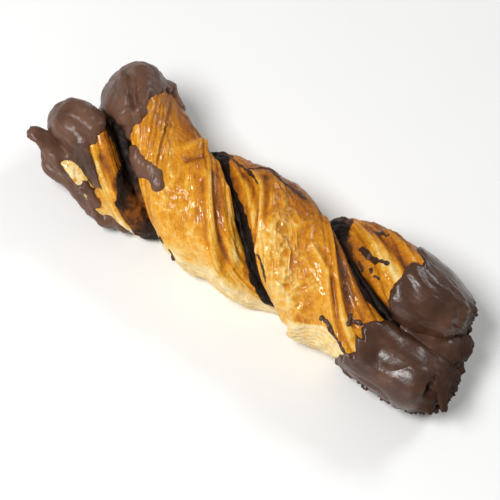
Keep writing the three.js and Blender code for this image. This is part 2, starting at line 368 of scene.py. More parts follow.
# How brown the crust is by the way it faces: 90 is up, 180 is the front. The browner back and upper back are
# partly painted shade, since the light falls from the front; the pale foot at the front is the dough's own.
BAKE_AND_SHADE_BY_FACING = [
    (0, 0.45), (20, 0.62), (40, 0.7), (60, 0.62), (90, 0.52), (120, 0.46), (150, 0.43), (175, 0.37),
    (190, 0.28), (202, 0.14), (212, 0.05), (225, 0.05), (250, 0.25), (270, 0.4), (290, 0.25),
    (315, 0.06), (335, 0.1), (348, 0.28), (360, 0.45),
]
# Browner and paler places, as soft spots.
BAKE_SPOTS = {
    "strand_a": [
        (24, 10, 8, 30, 0.13), (-18, 40, 10, 40, 0.12), (0, -20, 12, 30, 0.1), (26, 10, 10, 40, 0.06),
        (-64, -103, 7, 16, 0.3), (-53, -90, 8, 22, 0.03), (-72, -44, 8, 12, -0.25),
        (-60, -55, 6, 16, 0.12), (26, -85, 16, 22, 0.35), (-55, -80, 5, 10, 0.12), (-9, 89, 8, 5, -0.14),
    ],
    "strand_b": [
        (-52, 70, 8, 30, 0.1), (-44, -50, 10, 30, 0.12), (-30, 10, 16, 40, 0.1), (-12, 10, 12, 45, -0.24),
        (36, 60, 12, 16, 0.08), (36, 108, 10, 12, -0.02), (-20, -93, 12, 18, 0.24), (38, 92, 14, 7, -0.2),
        (42, 64, 10, 8, -0.1), (36, 119, 9, 7, 0.2),
    ],
}


# Folds that stand out from the rest: half width, height, how much browner they are, and the stations
# and angles of their bends. Many grooves beside raised folds and under flakes are painted browner as
# painted shade, and many raised folds paler as painted highlight.
FOLDS = {
    "strand_a": [
        (1.2, 1.1, -0.08, [(-20, 86), (-12, 79), (-9.5, 82), (-4.8, 88), (-1, 97)]),
        (1.0, -0.8, 0.18, [(-14, 70), (-8.2, 73), (-5.9, 77), (-3.4, 83)]),
        (1.0, 0.8, -0.08, [(-28, 103), (-6, 100)]),
        (0.9, -0.8, 0.16, [(-22, 95), (-9, 91), (-3, 97)]),
        (0.8, 0.7, -0.06, [(-5.3, 80), (-3.1, 82), (1.4, 77), (5, 80)]),
        (0.9, 0.9, -0.05, [(-1.5, 66), (3, 48), (7.6, 28), (11.8, 3), (16, -20)]),
        (0.8, -0.6, 0.08, [(0, 60), (4.2, 40), (8.8, 20), (13, -5)]),
        (0.7, 0.8, -0.05, [(13.6, 56), (16.6, 30), (18.5, 2), (20.5, -28)]),
        (0.7, 0.8, -0.05, [(15, 58), (18.6, 26), (21.2, -8), (23.4, -37)]),
        (0.8, 0.7, -0.04, [(2.6, 59), (5.1, 57), (7.8, 52)]),
        (0.7, 0.6, -0.04, [(0.3, 70), (3.9, 70)]),
        (0.7, 0.6, -0.04, [(9.2, 45), (11.8, 43)]),
        (0.8, 0.7, -0.04, [(6.2, 80), (7.6, 67), (9.7, 56)]),
        (0.8, 0.7, -0.04, [(7.9, 82), (10.4, 66), (12.1, 53)]),
        (1.2, 0.8, -0.04, [(-2.3, 32), (2, 5), (5.9, -12)]),
        (1.0, 0.7, -0.04, [(6, 2), (8.9, -38)]),
        (0.9, 0.5, -0.03, [(9.8, -44), (11.9, -31)]),
        (0.9, 1.0, -0.05, [(14, -36), (16.7, -43), (20.4, -53), (23.1, -58), (27, -57)]),
        (0.9, -0.7, 0.1, [(17, -51), (20.8, -61), (24, -66)]),
        (1.0, 1.0, -0.04, [(22, -68), (24.5, -62), (31.3, -57), (37, -56)]),
        (1.0, -0.9, 0.16, [(27, -68), (35.6, -61), (42, -62)]),
        (1.4, 1.1, -0.14, [(12, -80), (27.9, -76), (37.7, -72), (43, -75)]),
        (1.2, -0.7, 0.16, [(10, -90), (28, -86), (42, -84)]),
        (1.4, 0.8, -0.06, [(8, -98), (26, -97), (40, -98)]),
        (2.0, 0.5, -0.03, [(20.1, 29), (26.1, 7)]),
        (1.2, -0.6, 0.12, [(-66, -92), (-56, -98)]),
        (1.0, 0.6, -0.1, [(-66, -84), (-56, -88), (-50, -90)]),
    ],
    "strand_b": [
        (1.2, -0.8, 0.12, [(-31, -55), (-24, -56), (-16.7, -60)]),
        (1.4, 1.2, -0.04, [(-31, -68), (-25.8, -67), (-18.8, -71), (-10, -74)]),
        (1.8, -0.8, 0.14, [(-29, -82), (-19.7, -85), (-8, -90)]),
        (1.3, 0.9, -0.08, [(-26, -98), (-17, -97), (-6, -97)]),
        (1.3, 0.8, -0.08, [(-23.5, -109), (-13.7, -107), (-6.2, -105)]),
        (1.0, -0.5, 0.08, [(-34, -44), (-27, -42), (-20, -46)]),
        (2.2, 1.2, 0.05, [(-31, -97), (-26, -106), (-21, -114), (-16, -119)]),
        (2.0, 1.5, -0.06, [(-43.2, -24), (-41.3, -46), (-39.6, -72)]),
        (1.1, -0.9, 0.12, [(-40, -26), (-37.4, -50), (-35.6, -68)]),
        (0.8, 0.8, -0.08, [(-54, 36), (-51.9, 51), (-49.3, 61)]),
        (0.7, -0.6, 0.12, [(-53.2, 31), (-51, 46), (-48.4, 56)]),
        (0.8, -0.5, 0.1, [(-57.5, 4), (-54.2, 24), (-52.8, 38)]),
        (0.9, 0.5, -0.06, [(-41.5, 50), (-38.1, 42)]),
        (0.9, 0.5, -0.06, [(-38.6, 54), (-35.2, 36)]),
        (1.0, 0.6, -0.06, [(-24.9, -16), (-24.3, -37), (-22.9, -50)]),
        (1.0, 0.5, -0.05, [(-34.5, -14), (-38, -27)]),
        (2.2, 1.3, -0.08, [(22, 97), (48, 92)]),
        (2.2, 1.1, -0.05, [(34, 72), (50, 60)]),
        (1.4, -0.8, 0.16, [(27, 84), (47, 77)]),
        (1.8, -0.5, 0, [(25, 110), (44, 108)]),
    ],
}


def folds_at(s):
    """The height of the folds, and how much browner they are: raised folds paler as painted highlight and
    grooves browner as painted shade.
    """
    height = np.zeros(s.x.shape)
    browner = np.zeros(s.x.shape)
    for half, rise, brown, path in FOLDS[s.strand.name]:
        shape = bell(away_from(s, path), 0, half)
        height += rise * shape
        # Painted light: raised folds are painted paler and grooves browner, on top of each fold's own brown.
        browner += (brown - 0.1 * rise) * shape
    return height, browner


# Where the egg-washed skin has wrinkled.
WRINKLE_SPOTS = {
    "strand_a": [
        (13, 38, 8, 24, 1), (-3, 48, 11, 32, 0.7), (8, 25, 12, 40, 0.7), (26, -10, 10, 35, 0.3),
    ],
    "strand_b": [
        (-30, 12, 13, 34, 0.4), (-46, 25, 11, 40, 0.3), (-16, 25, 10, 30, 0.35),
    ],
}
# Where those wrinkles run along the strand instead of round it.
CROSSED_SPOTS = {"strand_a": [(4, 66, 5, 13, 1.2)]}
# Where the wash is thinner.
WORN_SPOTS = {"strand_b": [(-34, 15, 14, 50, 0.4)]}
# The hollow at the end of strand a.
END_HOLLOW = {"strand_a": [(76.6, -86, 1.8, 10, -3.6)]}
# What each strand has of its own: the seed of its random forms, the slant of its pleats on either
# flank, how much browner the filling stains it, and the skin over the bare dough of its foot. The
# skin's edge is given by station and angle, and the depth of the bare dough by station.
OWN = {
    "strand_a": SimpleNamespace(
        seed=11, slant_leading=-1, slant_trailing=-0.4, stain=0.2, last_stain=0,
        skin=(19, 23), skin_end=(60, 48), soft=0.4, rim=0.7, layers=0.25,
        edge=[(12, 90), (19, 58), (23, 40), (28, 9), (32.7, -30), (38.4, -51), (43, -58), (50, -62)],
        depth=[(19, 1.4), (22, 0.8), (23.5, -1.8), (30, -0.6), (40, 1.2)],
    ),
    "strand_b": SimpleNamespace(
        seed=37, slant_leading=0, slant_trailing=0.5, stain=0.25, last_stain=0.15,
        skin=(-34, -30), skin_end=(14, 8), soft=2.2, rim=0.25, layers=0.1,
        edge=[
            (-40, 100), (-33, 68), (-28, 50), (-21.5, 26), (-15.7, -22), (-11.3, -62), (-5.8, -80),
            (0.4, -94), (6.5, -102), (12, -112),
        ],
        depth=[(0, 0.5)],
    ),
}
# The sizes of the dough's forms: across in millimetres, or round the strand in degrees for the pleats
# and the leaves in them.
SIZE = SimpleNamespace(
    pleat=15, leaf=4.8, wave=12, blister=4.2, grain=1.6, bend=6, pucker=2.4, patch_long=4.5, patch_wide=7,
    ring=4.4, layer=3.4, lump=3.5,
)
# How far the forms stand out, in millimetres.
RELIEF = SimpleNamespace(
    pleat=0.9, leaf=0.3, leaf_slope=0.22, pleat_blister=0.12, pucker=0.4, wave=0.45, blister=0.22,
    patch=0.2, patch_slope=0.25, ring=0.2, grain=0.1, lump=0.7,
)
# How much browner the forms are. The pleat valleys are painted shade, and the wrinkles painted highlight on
# their ridges and painted shade in their hollows.
BROWN = SimpleNamespace(
    pleat=0.08, valley_shade=0.16, leaf=0.16, pale_leaf=-0.16, pleat_blister=0.06, patch=0.05, patch_edge=0.03,
    wave=0.04, wrinkle_shading=-0.26, ring=0.05, grain=0.06, fleck=0.3,
)
# How brown the bare dough is, and what its blisters and layers add to that.
BARE_BROWN = SimpleNamespace(plain=0.13, blister=0.07, layer=0.05)


# Where the filling has spilled over the flanks of the seams: station and angle of its edge.
SPILL_A_TRAILING = [
    (-76, -130), (-71, -113), (-67, -114), (-64.4, -124), (-59.6, -119), (-58.9, -101), (-56.2, -98),
    (-54.5, -85), (-52, -87), (-46.3, -88), (-43, -75), (-40, -62), (-36, -80), (-33, -140), (8, -140),
    (12, -108), (40, -112), (60, -140),
]
SPILL_A_LEADING = [
    (-60, 150), (-42, 112), (-36, 92), (-32, 88), (-30, 93), (-28, 106), (-25, 114), (-17.7, 117),
    (-10, 112), (-2.2, 104), (3.7, 112), (12, 120), (20, 140), (70, 150),
]
SPILL_B_TRAILING = [
    (-60, -150), (-34, -126), (-20, -128), (-7.4, -126), (-2.3, -118), (0.1, -115), (1.8, -111), (6.1, -110),
    (9.9, -107), (14, -110), (18, -128), (70, -150),
]
SPILL_B_LEADING = [
    (-70, 150), (0, 150), (10, 104), (15, 89), (18, 89), (21.5, 99), (22.3, 110), (23.7, 121), (26.9, 125),
    (31, 131), (35.8, 136), (43, 134), (49.5, 120), (55, 120), (70, 130),
]
SPILL_EDGES = {
    "strand_a": (SPILL_A_TRAILING, SPILL_A_LEADING),
    "strand_b": (SPILL_B_TRAILING, SPILL_B_LEADING),
}


def spill_edge(s):
    """How far inside the spilled filling each point of a strand is."""
    trailing, leading = SPILL_EDGES[s.strand.name]
    below = ARC * (np.interp(s.x, *zip(*trailing)) - s.angle)
    above = ARC * (s.angle - np.interp(s.x, *zip(*leading)))
    return np.maximum(below, above)


def add_forms(s):
    """Adds to a strand's surface the random forms that its relief and its colour share."""
    s.own = OWN[s.strand.name]
    seed = s.own.seed
    arc = ARC * s.angle
    s.waves = layered_noise(s.points, SIZE.wave, seed + 1, 2)
    s.blisters = layered_noise(s.points, SIZE.blister, seed + 2)
    s.grain = layered_noise(s.points, SIZE.grain, seed + 6, 2)
    bend = 1.6 * noise(s.points, SIZE.bend, seed + 8)

    s.last_face = ease(8, 24, s.x) if s.strand is STRAND_B else 0.0
    trailing = ease(-126, -112, s.angle) * ease(-46, -72, s.angle)
    leading = ease(126, 112, s.angle) * ease(74 - 34 * s.last_face, 92 - 34 * s.last_face, s.angle)
    s.pleated = np.clip(trailing + leading, 0, 1)
    slant = np.where(s.angle > 0, s.own.slant_leading, s.own.slant_trailing)
    s.pleat, s.across, s.pleat_lot = pleat_profile(s, SIZE.pleat, slant, seed)
    _, s.leaf_across, s.leaf_lot = pleat_profile(s, SIZE.leaf, slant, seed + 20)

    along_patch = s.x / SIZE.patch_long + 0.3 * bend
    across_patch = arc / SIZE.patch_wide + 0.25 * bend
    s.patch_edge, s.patch_lot, s.patch_slope = flake_cells(along_patch, across_patch, seed + 40)

    s.puckers = ridges(s.points + bend[..., None], SIZE.pucker, seed + 3)
    round_it = stacked((0.5 * s.x - 0.9 * arc) / 6, (0.9 * s.x + 0.5 * arc) / 1.9 + 0.7 * bend, 0)
    along_it = stacked((s.x - 0.25 * arc) / 5, (0.25 * s.x + arc) / 1.7 + 0.8 * bend, 0)
    creases = ridges(round_it, 1, seed + 9)
    crossed = np.clip(spots_at(s, CROSSED_SPOTS), 0, 1)
    creases = creases + crossed * (ridges(along_it, 1, seed + 10) - creases)
    wrinkled = 0.22 + 1.15 * spots_at(s, WRINKLE_SPOTS)
    s.wrinkles = wrinkled * (np.maximum(0.8 * s.puckers, creases) - 0.3)

    s.rings = 0.0
    if s.strand is STRAND_B:
        lines = np.sin(2 * np.pi * (s.x - arc + 1.2 * s.blisters + 0.4 * bend) / SIZE.ring)
        s.rings = lines * bell(s.x, -55, 9) * ease(15, 40, s.angle) * ease(116, 100, s.angle)
    s.folds, s.fold_brown = folds_at(s)

    past_edge = ARC * (s.angle - np.interp(s.x, *zip(*s.own.edge)))
    s.past_edge = past_edge + 0.7 * s.blisters + 0.5 * s.grain
    s.low = ease(138, 150, s.facing) * ease(290, 250, s.facing) * ease(120, 104, np.abs(s.angle))
    s.low = s.low * ease(*s.own.skin, s.x) * ease(*s.own.skin_end, s.x)
    s.bare = ease(-s.own.soft, s.own.soft, s.past_edge) * s.low
    s.layers = np.sin(2 * np.pi * (s.past_edge + 0.5 * s.waves) / SIZE.layer)


def relief_of(s):
    """How far the baked dough stands out from a strand's plain surface."""
    pleats = RELIEF.pleat * (s.pleat - 0.4) + RELIEF.leaf * (s.leaf_lot - 0.5)
    pleats = pleats + RELIEF.leaf_slope * (s.leaf_across - 0.5) + RELIEF.pleat_blister * s.blisters
    pleats = pleats + RELIEF.pucker * s.last_face * (s.puckers - 0.3)
    skin = RELIEF.wave * s.waves + RELIEF.blister * s.blisters + s.wrinkles
    skin = skin + RELIEF.patch * (s.patch_lot - 0.5) + RELIEF.patch_slope * s.patch_slope
    relief = s.pleated * pleats + (1 - s.pleated) * skin + RELIEF.ring * s.rings
    relief = relief + flakes_at(s) + s.folds + RELIEF.grain * s.grain
    depth = np.interp(s.x, *zip(*s.own.depth)) + s.own.layers * s.layers
    lumps = RELIEF.lump * layered_noise(s.points, SIZE.lump, s.own.seed + 12, 2)
    rim = s.own.rim * bell(s.past_edge, -0.7, 1.2)
    relief = relief * (1 - 0.6 * s.bare) + s.low * rim + s.bare * (lumps - depth)
    from_tip = np.minimum(s.x - s.strand.start, s.strand.end - s.x)
    shown = ease(126, 112, np.abs(s.angle)) * ease(0, 6, from_tip)
    return shown * relief + spots_at(s, END_HOLLOW)


def bake_and_shading_of(s):
    """How brown the crust is, from 0 to 1, with painted shade and painted highlight in it."""
    # Painted shade: the crust is painted browner towards the back and the upper back.
    bake = np.interp(s.facing + 4 * s.waves, *zip(*BAKE_AND_SHADE_BY_FACING)) + spots_at(s, BAKE_SPOTS)
    bake = np.maximum(bake, 0.34 * s.low * (1 - s.bare))
    # Painted shade: the narrow valleys between pleats are painted browner.
    valley_shade = 1 - ease(0, 0.25, np.minimum(s.across, 1 - s.across))
    pale_leaf = (s.leaf_lot > 0.7) * ease(-0.2, 0.3, s.waves + s.blisters)
    pleats = BROWN.pleat * (s.pleat + s.pleat_lot - 1) + BROWN.valley_shade * valley_shade
    pleats = pleats + BROWN.leaf * (s.leaf_lot - 0.5) + BROWN.pale_leaf * pale_leaf
    pleats = pleats + BROWN.pleat_blister * s.blisters
    skin = BROWN.patch * (s.patch_lot - 0.5) + BROWN.patch_edge * (1 - ease(0, 0.08, s.patch_edge))
    # Painted highlight and shade: raised wrinkles are painted paler and their hollows browner.
    skin = skin + BROWN.wave * (s.waves + s.blisters) + BROWN.wrinkle_shading * s.wrinkles
    bake = bake + s.pleated * pleats + (1 - s.pleated) * skin
    bake = bake + BROWN.ring * s.rings + BROWN.grain * s.grain + s.fold_brown
    if s.strand is STRAND_A:
        flecks = ease(0.3, 0.9, s.grain) * ease(-52, -60, s.x) * ease(-70, -58, s.angle)
        bake = bake + BROWN.fleck * flecks
    stain = s.own.stain + s.own.last_stain * ease(18, 28, s.x)
    bake = bake + stain * ease(-3.5, 0.5, spill_edge(s) + 1.2 * s.blisters)
    bare = BARE_BROWN.plain + BARE_BROWN.blister * s.blisters + BARE_BROWN.layer * s.layers
    return np.clip(bake * (1 - s.bare) + bare * s.bare, 0, 1)


def wash_of(s):
    """How glossy the egg wash is, from 0 to 1."""
    wash = (1 - s.pleated) * ease(212, 188, s.facing) + (0.5 + 0.5 * s.last_face) * s.pleated
    wash = np.clip(wash, 0, 1) * (1 - 0.8 * s.bare)
    return wash * (0.45 + 0.55 * ease(60, 110, s.facing)) * (1 - spots_at(s, WORN_SPOTS))


def dough_surface(strand, low, high, grid):
    """A strand's surface between two stations, with its relief, how brown it is (painted shade and highlight
    included) and how glossy.
    """
    s = surface(strand, stations(strand, low, high, grid.step), angles(grid.shown, grid.hidden))
    add_forms(s)
    s.relief = relief_of(s)
    s.bake = bake_and_shading_of(s)
    s.wash = wash_of(s)
    return s


def on_dough(s, height):
    """Points that stand a height above a strand's baked surface."""
    points = s.points + s.normals * (s.relief + height)[..., None]
    points[..., 2] = np.maximum(points[..., 2], 0)
    return points


def grid_faces(rows, columns):
    """The quads of a grid whose columns close on themselves."""
    row, column = np.meshgrid(np.arange(rows - 1), np.arange(columns), indexing="ij")
    here = row * columns + column
    beside = row * columns + (column + 1) % columns
    return np.stack([here, beside, beside + columns, here + columns], -1).reshape(-1, 4)


def fan(first, columns, tip, flip):
    """Triangles from a ring of vertices to its tip."""
    here = first + np.arange(columns)
    beside = first + (np.arange(columns) + 1) % columns
    sides = (beside, here) if flip else (here, beside)
    return np.stack([np.full(columns, tip), *sides], -1)


def closed(grid, flip):
    """A tube as one closed mesh: the vertices and faces of its grid, with a fan at each end."""
    rows, columns = grid.shape[:2]
    count = rows * columns
    quads = grid_faces(rows, columns)
    faces = [
        quads if flip else quads[:, ::-1],
        fan(0, columns, count, flip),
        fan(count - columns, columns, count + 1, not flip),
    ]
    return np.concatenate([grid.reshape(-1, 3), [grid[0].mean(0), grid[-1].mean(0)]]), faces


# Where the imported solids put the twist's own origin.
SHIFT = np.array([5.9016, -3.0899, 0])


def new_piece(name, points, faces, values, slot, node=None):
    """A smooth mesh that rides on the twist, with a number for each vertex under each name. It may
    stand for a node of the solids."""
    mesh = bpy.data.meshes.new(name)
    corners = [face.tolist() for group in faces for face in group]
    mesh.from_pydata(((points + SHIFT) * MM).tolist(), [], corners)
    mesh.polygons.foreach_set("use_smooth", np.ones(len(mesh.polygons), bool))
    for key, value in values.items():
        attribute = mesh.attributes.new(key, "FLOAT", "POINT")
        attribute.data.foreach_set("value", np.asarray(value, np.float32).ravel())
    mesh.materials.append(MATERIALS[slot])
    mesh.validate()
    piece = bpy.data.objects.new(name, mesh)
    bpy.context.scene.collection.objects.link(piece)
    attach(piece, "root")
    if node:
        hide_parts(node)


def srgb(red, green, blue):
    """A colour with parts from 0 to 255, as the shaders take it."""
    def linear(value):
        share = value / 255
        return share / 12.92 if share <= 0.04045 else ((share + 0.055) / 1.055) ** 2.4
    return (linear(red), linear(green), linear(blue), 1)


class Shader:
    """A node material with short names for what the materials share."""

    def __init__(self, name):
        self.material = bpy.data.materials.new(name)
        self.material.use_nodes = True
        self.tree = self.material.node_tree
        self.object_place = self.node("ShaderNodeTexCoord", {}).outputs["Object"]

    def fill(self, node, inputs):
        """Sets each input of a node to a value, or links it to another node's output."""
        for key, value in inputs.items():
            if isinstance(value, bpy.types.NodeSocket):
                self.tree.links.new(value, node.inputs[key])
            else:
                node.inputs[key].default_value = value

    def node(self, kind, inputs, **settings):
        made = self.tree.nodes.new(kind)
        for key, value in settings.items():
            setattr(made, key, value)
        self.fill(made, inputs)
        return made

    def look(self, **inputs):
        """Fills in the material's surface."""
        named = {key.replace("_", " "): value for key, value in inputs.items()}
        self.fill(self.tree.nodes["Principled BSDF"], named)

    def attribute(self, name):
        return self.node("ShaderNodeAttribute", {}, attribute_name=name).outputs["Fac"]

    def noise(self, size_mm, detail=3.0, roughness=0.55, longer=1):
        """Noise with bumps about a size across, some times longer along the twist."""
        stretch = self.node("ShaderNodeMapping", {"Scale": (1 / longer, 1, 1), "Vector": self.object_place})
        made = self.node("ShaderNodeTexNoise", {
            "Scale": 1 / (size_mm * MM), "Detail": detail, "Roughness": roughness,
            "Vector": stretch.outputs["Vector"],
        })
        return made.outputs["Fac"]

    def add(self, first, second):
        return self.node("ShaderNodeMath", {0: first, 1: second}, operation="ADD").outputs[0]

    def multiply(self, first, second):
        return self.node("ShaderNodeMath", {0: first, 1: second}, operation="MULTIPLY").outputs[0]

    def spread(self, source, low, high):
        """A number from 0 to 1 moved to the range from low to high."""
        made = self.node("ShaderNodeMapRange", {"Value": source, "To Min": low, "To Max": high})
        return made.outputs["Result"]

    def ramp(self, source, stops):
        """A colour that follows a number, by the colours at some of its values."""
        made = self.node("ShaderNodeValToRGB", {"Fac": source})
        elements = made.color_ramp.elements
        while len(elements) < len(stops):
            elements.new(0.5)
        for element, (position, colour) in zip(elements, stops):
            element.position = position
            element.color = srgb(*colour)
        return made.outputs["Color"]

    def bump(self, *layers):
        """A normal bent by layers of bumps, each a height source and a depth in millimetres."""
        below = {}
        for source, depth in layers:
            inputs = {"Strength": 1, "Distance": depth * MM, "Height": source, **below}
            below = {"Normal": self.node("ShaderNodeBump", inputs).outputs["Normal"]}
        return below["Normal"]


def crust_material():
    """Laminated crust: straw to dark brown by how far it is baked, with painted shade and highlight in that
    brown, and a broken egg-wash gloss.
    """
    shader = Shader("crust")
    speckle = shader.noise(0.8, 4, 0.7)
    mottle = shader.noise(5, 3)
    pitted = shader.noise(2, 3)
    # The crust's brown number carries its painted shade and painted highlight too.
    bake = shader.add(shader.attribute("bake"), shader.spread(speckle, -0.24, 0.24))
    bake = shader.add(bake, shader.spread(mottle, -0.05, 0.05))
    gloss = shader.multiply(shader.attribute("wash"), shader.spread(mottle, 0.5, 1.3))
    shader.look(
        Base_Color=shader.ramp(bake, [
            (0.0, (242, 226, 188)), (0.12, (234, 207, 150)), (0.28, (227, 182, 90)), (0.42, (219, 153, 36)),
            (0.55, (198, 126, 24)), (0.7, (166, 97, 22)), (0.85, (122, 70, 26)), (1.0, (74, 43, 24)),
        ]),
        Roughness=shader.spread(gloss, 0.62, 0.34),
        IOR=1.2,
        Normal=shader.bump((pitted, 0.5), (speckle, 0.3)),
        Coat_Weight=shader.spread(gloss, 0, 0.8),
        Coat_Roughness=0.04,
        Coat_IOR=1.5,
        Coat_Normal=shader.bump((pitted, 0.15)),
    )
    return shader.material


def chocolate_material():
    """Set chocolate with a satin sheen and a faint bloom."""
    shader = Shader("chocolate")
    bloom = shader.noise(9, 4)
    grain = shader.noise(0.9, 2)
    streaks = shader.noise(1.6, 2, longer=6)
    satin = shader.spread(shader.noise(6, 4), 0.16, 0.46)
    crumbly = shader.attribute("crumbly")
    dull_and_shade = shader.attribute("dull_and_shade")
    tone = shader.add(bloom, shader.spread(grain, -0.06, 0.06))
    tone = shader.add(tone, shader.multiply(crumbly, -0.25))
    # Lighter, more matte chocolate on the left dip, with painted shade where this number falls round its
    # tongue.
    tone = shader.add(tone, shader.multiply(dull_and_shade, 0.28))
    rough = shader.add(satin, shader.multiply(crumbly, 0.4))
    shader.look(
        Base_Color=shader.ramp(tone, [(0.25, (58, 37, 26)), (0.5, (74, 48, 35)), (1.0, (112, 78, 60))]),
        Roughness=shader.add(rough, shader.multiply(dull_and_shade, 0.1)),
        IOR=shader.spread(crumbly, 1.44, 1.25),
        Normal=shader.bump((shader.noise(5, 2), 0.2), (streaks, 0.12), (grain, 0.08)),
    )
    return shader.material


def filling_material():
    """Dark baked chocolate, half glossy, with brown crumbs in it."""
    shader = Shader("dark_filling")
    patches = shader.spread(shader.noise(4, 2), -0.2, 2.0)
    crumbs = shader.multiply(shader.attribute("crumb"), patches)
    tone = shader.add(shader.multiply(shader.noise(1.6, 4), 0.7), crumbs)
    shader.look(
        Base_Color=shader.ramp(tone, [
            (0.3, (20, 12, 8)), (0.55, (38, 24, 16)), (0.8, (84, 46, 16)), (1.0, (118, 66, 20)),
        ]),
        Roughness=shader.spread(shader.noise(1.2, 2), 0.2, 1.0),
        IOR=1.27,
        Normal=shader.bump((shader.noise(1.8, 3), 0.5)),
    )
    return shader.material


# The material of each slot.
MATERIALS = {"crust": crust_material(), "chocolate": chocolate_material(), "filling": filling_material()}

# How fine the meshes are: millimetres along a strand, and points round it where it shows and where
# it is hidden.
STRAND_GRID = SimpleNamespace(step=0.5, shown=250, hidden=22)
COAT_GRID = SimpleNamespace(step=0.5, shown=200, hidden=22)
SPILL_GRID = SimpleNamespace(step=0.6, shown=150, hidden=24)
SMEAR_GRID = SimpleNamespace(step=0.3, shown=330, hidden=10)


def strand_piece(strand):
    s = dough_surface(strand, strand.start, strand.end, STRAND_GRID)
    points, faces = closed(on_dough(s, 0), False)
    # The brown of the crust, with its painted shade and highlight, and the gloss of its wash.
    values = {
        "bake": np.append(s.bake.ravel(), [0.4, 0.4]),
        "wash": np.append(s.wash.ravel(), [0.2, 0.2]),
    }
    new_piece(strand.name + "_crust", points, faces, values, "crust", strand.name)


def edge_at(edge, angle):
    """The station where chocolate ends at an angle round a strand."""
    at, station = zip(*edge)
    return np.interp(angle, at, station, period=360)


def shell(s, cover, thick, lumps, roundness=1.5, foot=0.0):
    """Chocolate on a strand wherever cover is above 0: closed, rounded at its edge, sunk a little
    into the dough, and spread into a foot on the table. Returns its vertices and faces."""
    inside = np.clip(cover / roundness, 0, 1)
    rim = np.sqrt(1 - (1 - inside) ** 2)
    deep = ease(0.2, 2.2, cover)
    height = np.where(cover > 0, (thick + lumps * deep) * rim, 1.3 * cover)
    height = height - deep * (0.9 * s.relief - 0.25)
    height = np.where(cover > 0, np.maximum(height, 0.3 * rim), height)
    outer = on_dough(s, height)
    uneven = np.maximum(1 + 0.9 * layered_noise(outer, 3.5, 97, 2), 0)
    spread = foot * deep * ease(5, 0.5, outer[..., 2]) * uneven
    level = s.normals * np.array([1, 1, 0])
    outer += spread[..., None] * level / np.maximum(np.linalg.norm(level, axis=-1, keepdims=True), 0.3)
    inner = on_dough(s, np.full(cover.shape, -1.6) - 0.8 * s.relief)
    rows, columns = cover.shape
    keep = (cover > -0.8).ravel()
    quads = grid_faces(rows, columns)
    quads = quads[keep[quads].all(1)]
    count = rows * columns
    points = np.concatenate([outer.reshape(-1, 3), inner.reshape(-1, 3)])
    sides = np.concatenate([quads[:, [i, (i + 1) % 4]] for i in range(4)])
    key = np.sort(sides, 1) @ np.array([2 * count, 1])
    _, first, times = np.unique(key, return_index=True, return_counts=True)
    open_sides = sides[first[times == 1]]
    faces = [quads[:, ::-1], quads + count]
    for row, flip in ((0, False), (rows - 1, True)):
        if keep.reshape(rows, columns)[row].all():
            tip = len(points)
            points = np.concatenate([points, [outer[row].mean(0), inner[row].mean(0)]])
            faces.append(fan(row * columns, columns, tip, flip))
            faces.append(fan(count + row * columns, columns, tip + 1, not flip))
            open_sides = open_sides[(open_sides // columns != row).any(1)]
    near, far = open_sides.T
    faces.append(np.stack([near, far, far + count, near + count], 1))
    used = np.unique(np.concatenate([group.ravel() for group in faces]))
    renumber = np.zeros(len(points), int)
    renumber[used] = np.arange(len(used))
    return points[used], [renumber[group] for group in faces]


def joined(shells):
    """Several meshes as one."""
    points = np.concatenate([part for part, _ in shells])
    faces = []
    first = 0
    for part, groups in shells:
        faces += [group + first for group in groups]
        first += len(part)
    return points, faces


# The edges of the coats at both ends of the strands: angle and station.
A_START_EDGE = [
    (-180, -66), (-150, -68), (-125, -74), (-108, -70.7), (-96, -71.3), (-90, -70.1), (-86, -71),
    (-82, -71.6), (-80, -64.5), (-77, -60.5), (-70, -61.7), (-63, -63.3), (-57, -64.8), (-55, -68),
    (-53, -72), (-49, -75), (-38, -76.5), (-32, -72), (-20, -66), (-10, -58), (0, -54), (20, -48),
    (60, -48), (100, -55), (140, -62),
]
# The upper edge of the chocolate round the foot of strand a: station and angle.
A_FOOT_EDGE = [
    (-80, -33), (-72.7, -33), (-68.8, -34), (-62.4, -37), (-60.5, -37), (-56.7, -45), (-50.4, -71),
    (-47, -75),
]
B_START_EDGE = [
    (-180, -58), (-140, -56), (-110, -54), (-75, -53), (-52, -54), (-38, -56), (-29, -58.5), (-14, -61),
    (2, -60), (14, -62.3), (32, -62.2), (48, -61.5), (60, -62.5), (70, -63.4), (77, -62), (84, -60.4),
    (92, -61.5), (104, -62.7), (112, -61), (130, -60),
]
A_END_EDGE = [
    (-180, 48), (-150, 49), (-125, 51), (-118, 50), (-104, 46), (-94, 44.5), (-90, 44.8), (-86, 47.2),
    (-82, 44.4), (-78, 45), (-72, 47.5), (-64, 46), (-56, 44), (-40, 43.5), (0, 43), (19, 42.8), (60, 43.5),
    (100, 46), (140, 48),
]
B_END_EDGE = [
    (-180, 49), (-140, 48), (-60, 47), (0, 46.5), (30, 46.2), (38, 46.4), (45, 48.3), (56, 50.4), (62, 50.6),
    (67, 48), (72, 47), (80, 46.6), (88, 47), (98, 46.4), (106, 46.6), (112, 47.5), (120, 51), (150, 52),
]


# Strokes of chocolate beyond those edges.
LEDGE_CLUMP = [[(-66.5, -46, 2.3), (-61.5, -44, 0)]]
B_START_STROKES = [
    [(-57, 112, 3.4), (-52, 94, 0)], [(-52, 92, 2.9), (-49, 76, 0)], [(-46.2, 60, 2.4), (-43.8, 58, 0)],
]
A_END_STROKES = [
    [(31.5, -34, 0.8), (34, -42, 0.9), (38.5, -52, 1.1), (44, -58, 0)],
    [(39.5, -84, 0.8), (40.6, -78, 0)], [(41.5, -86, 1.3), (43.5, -92, 0)],
]
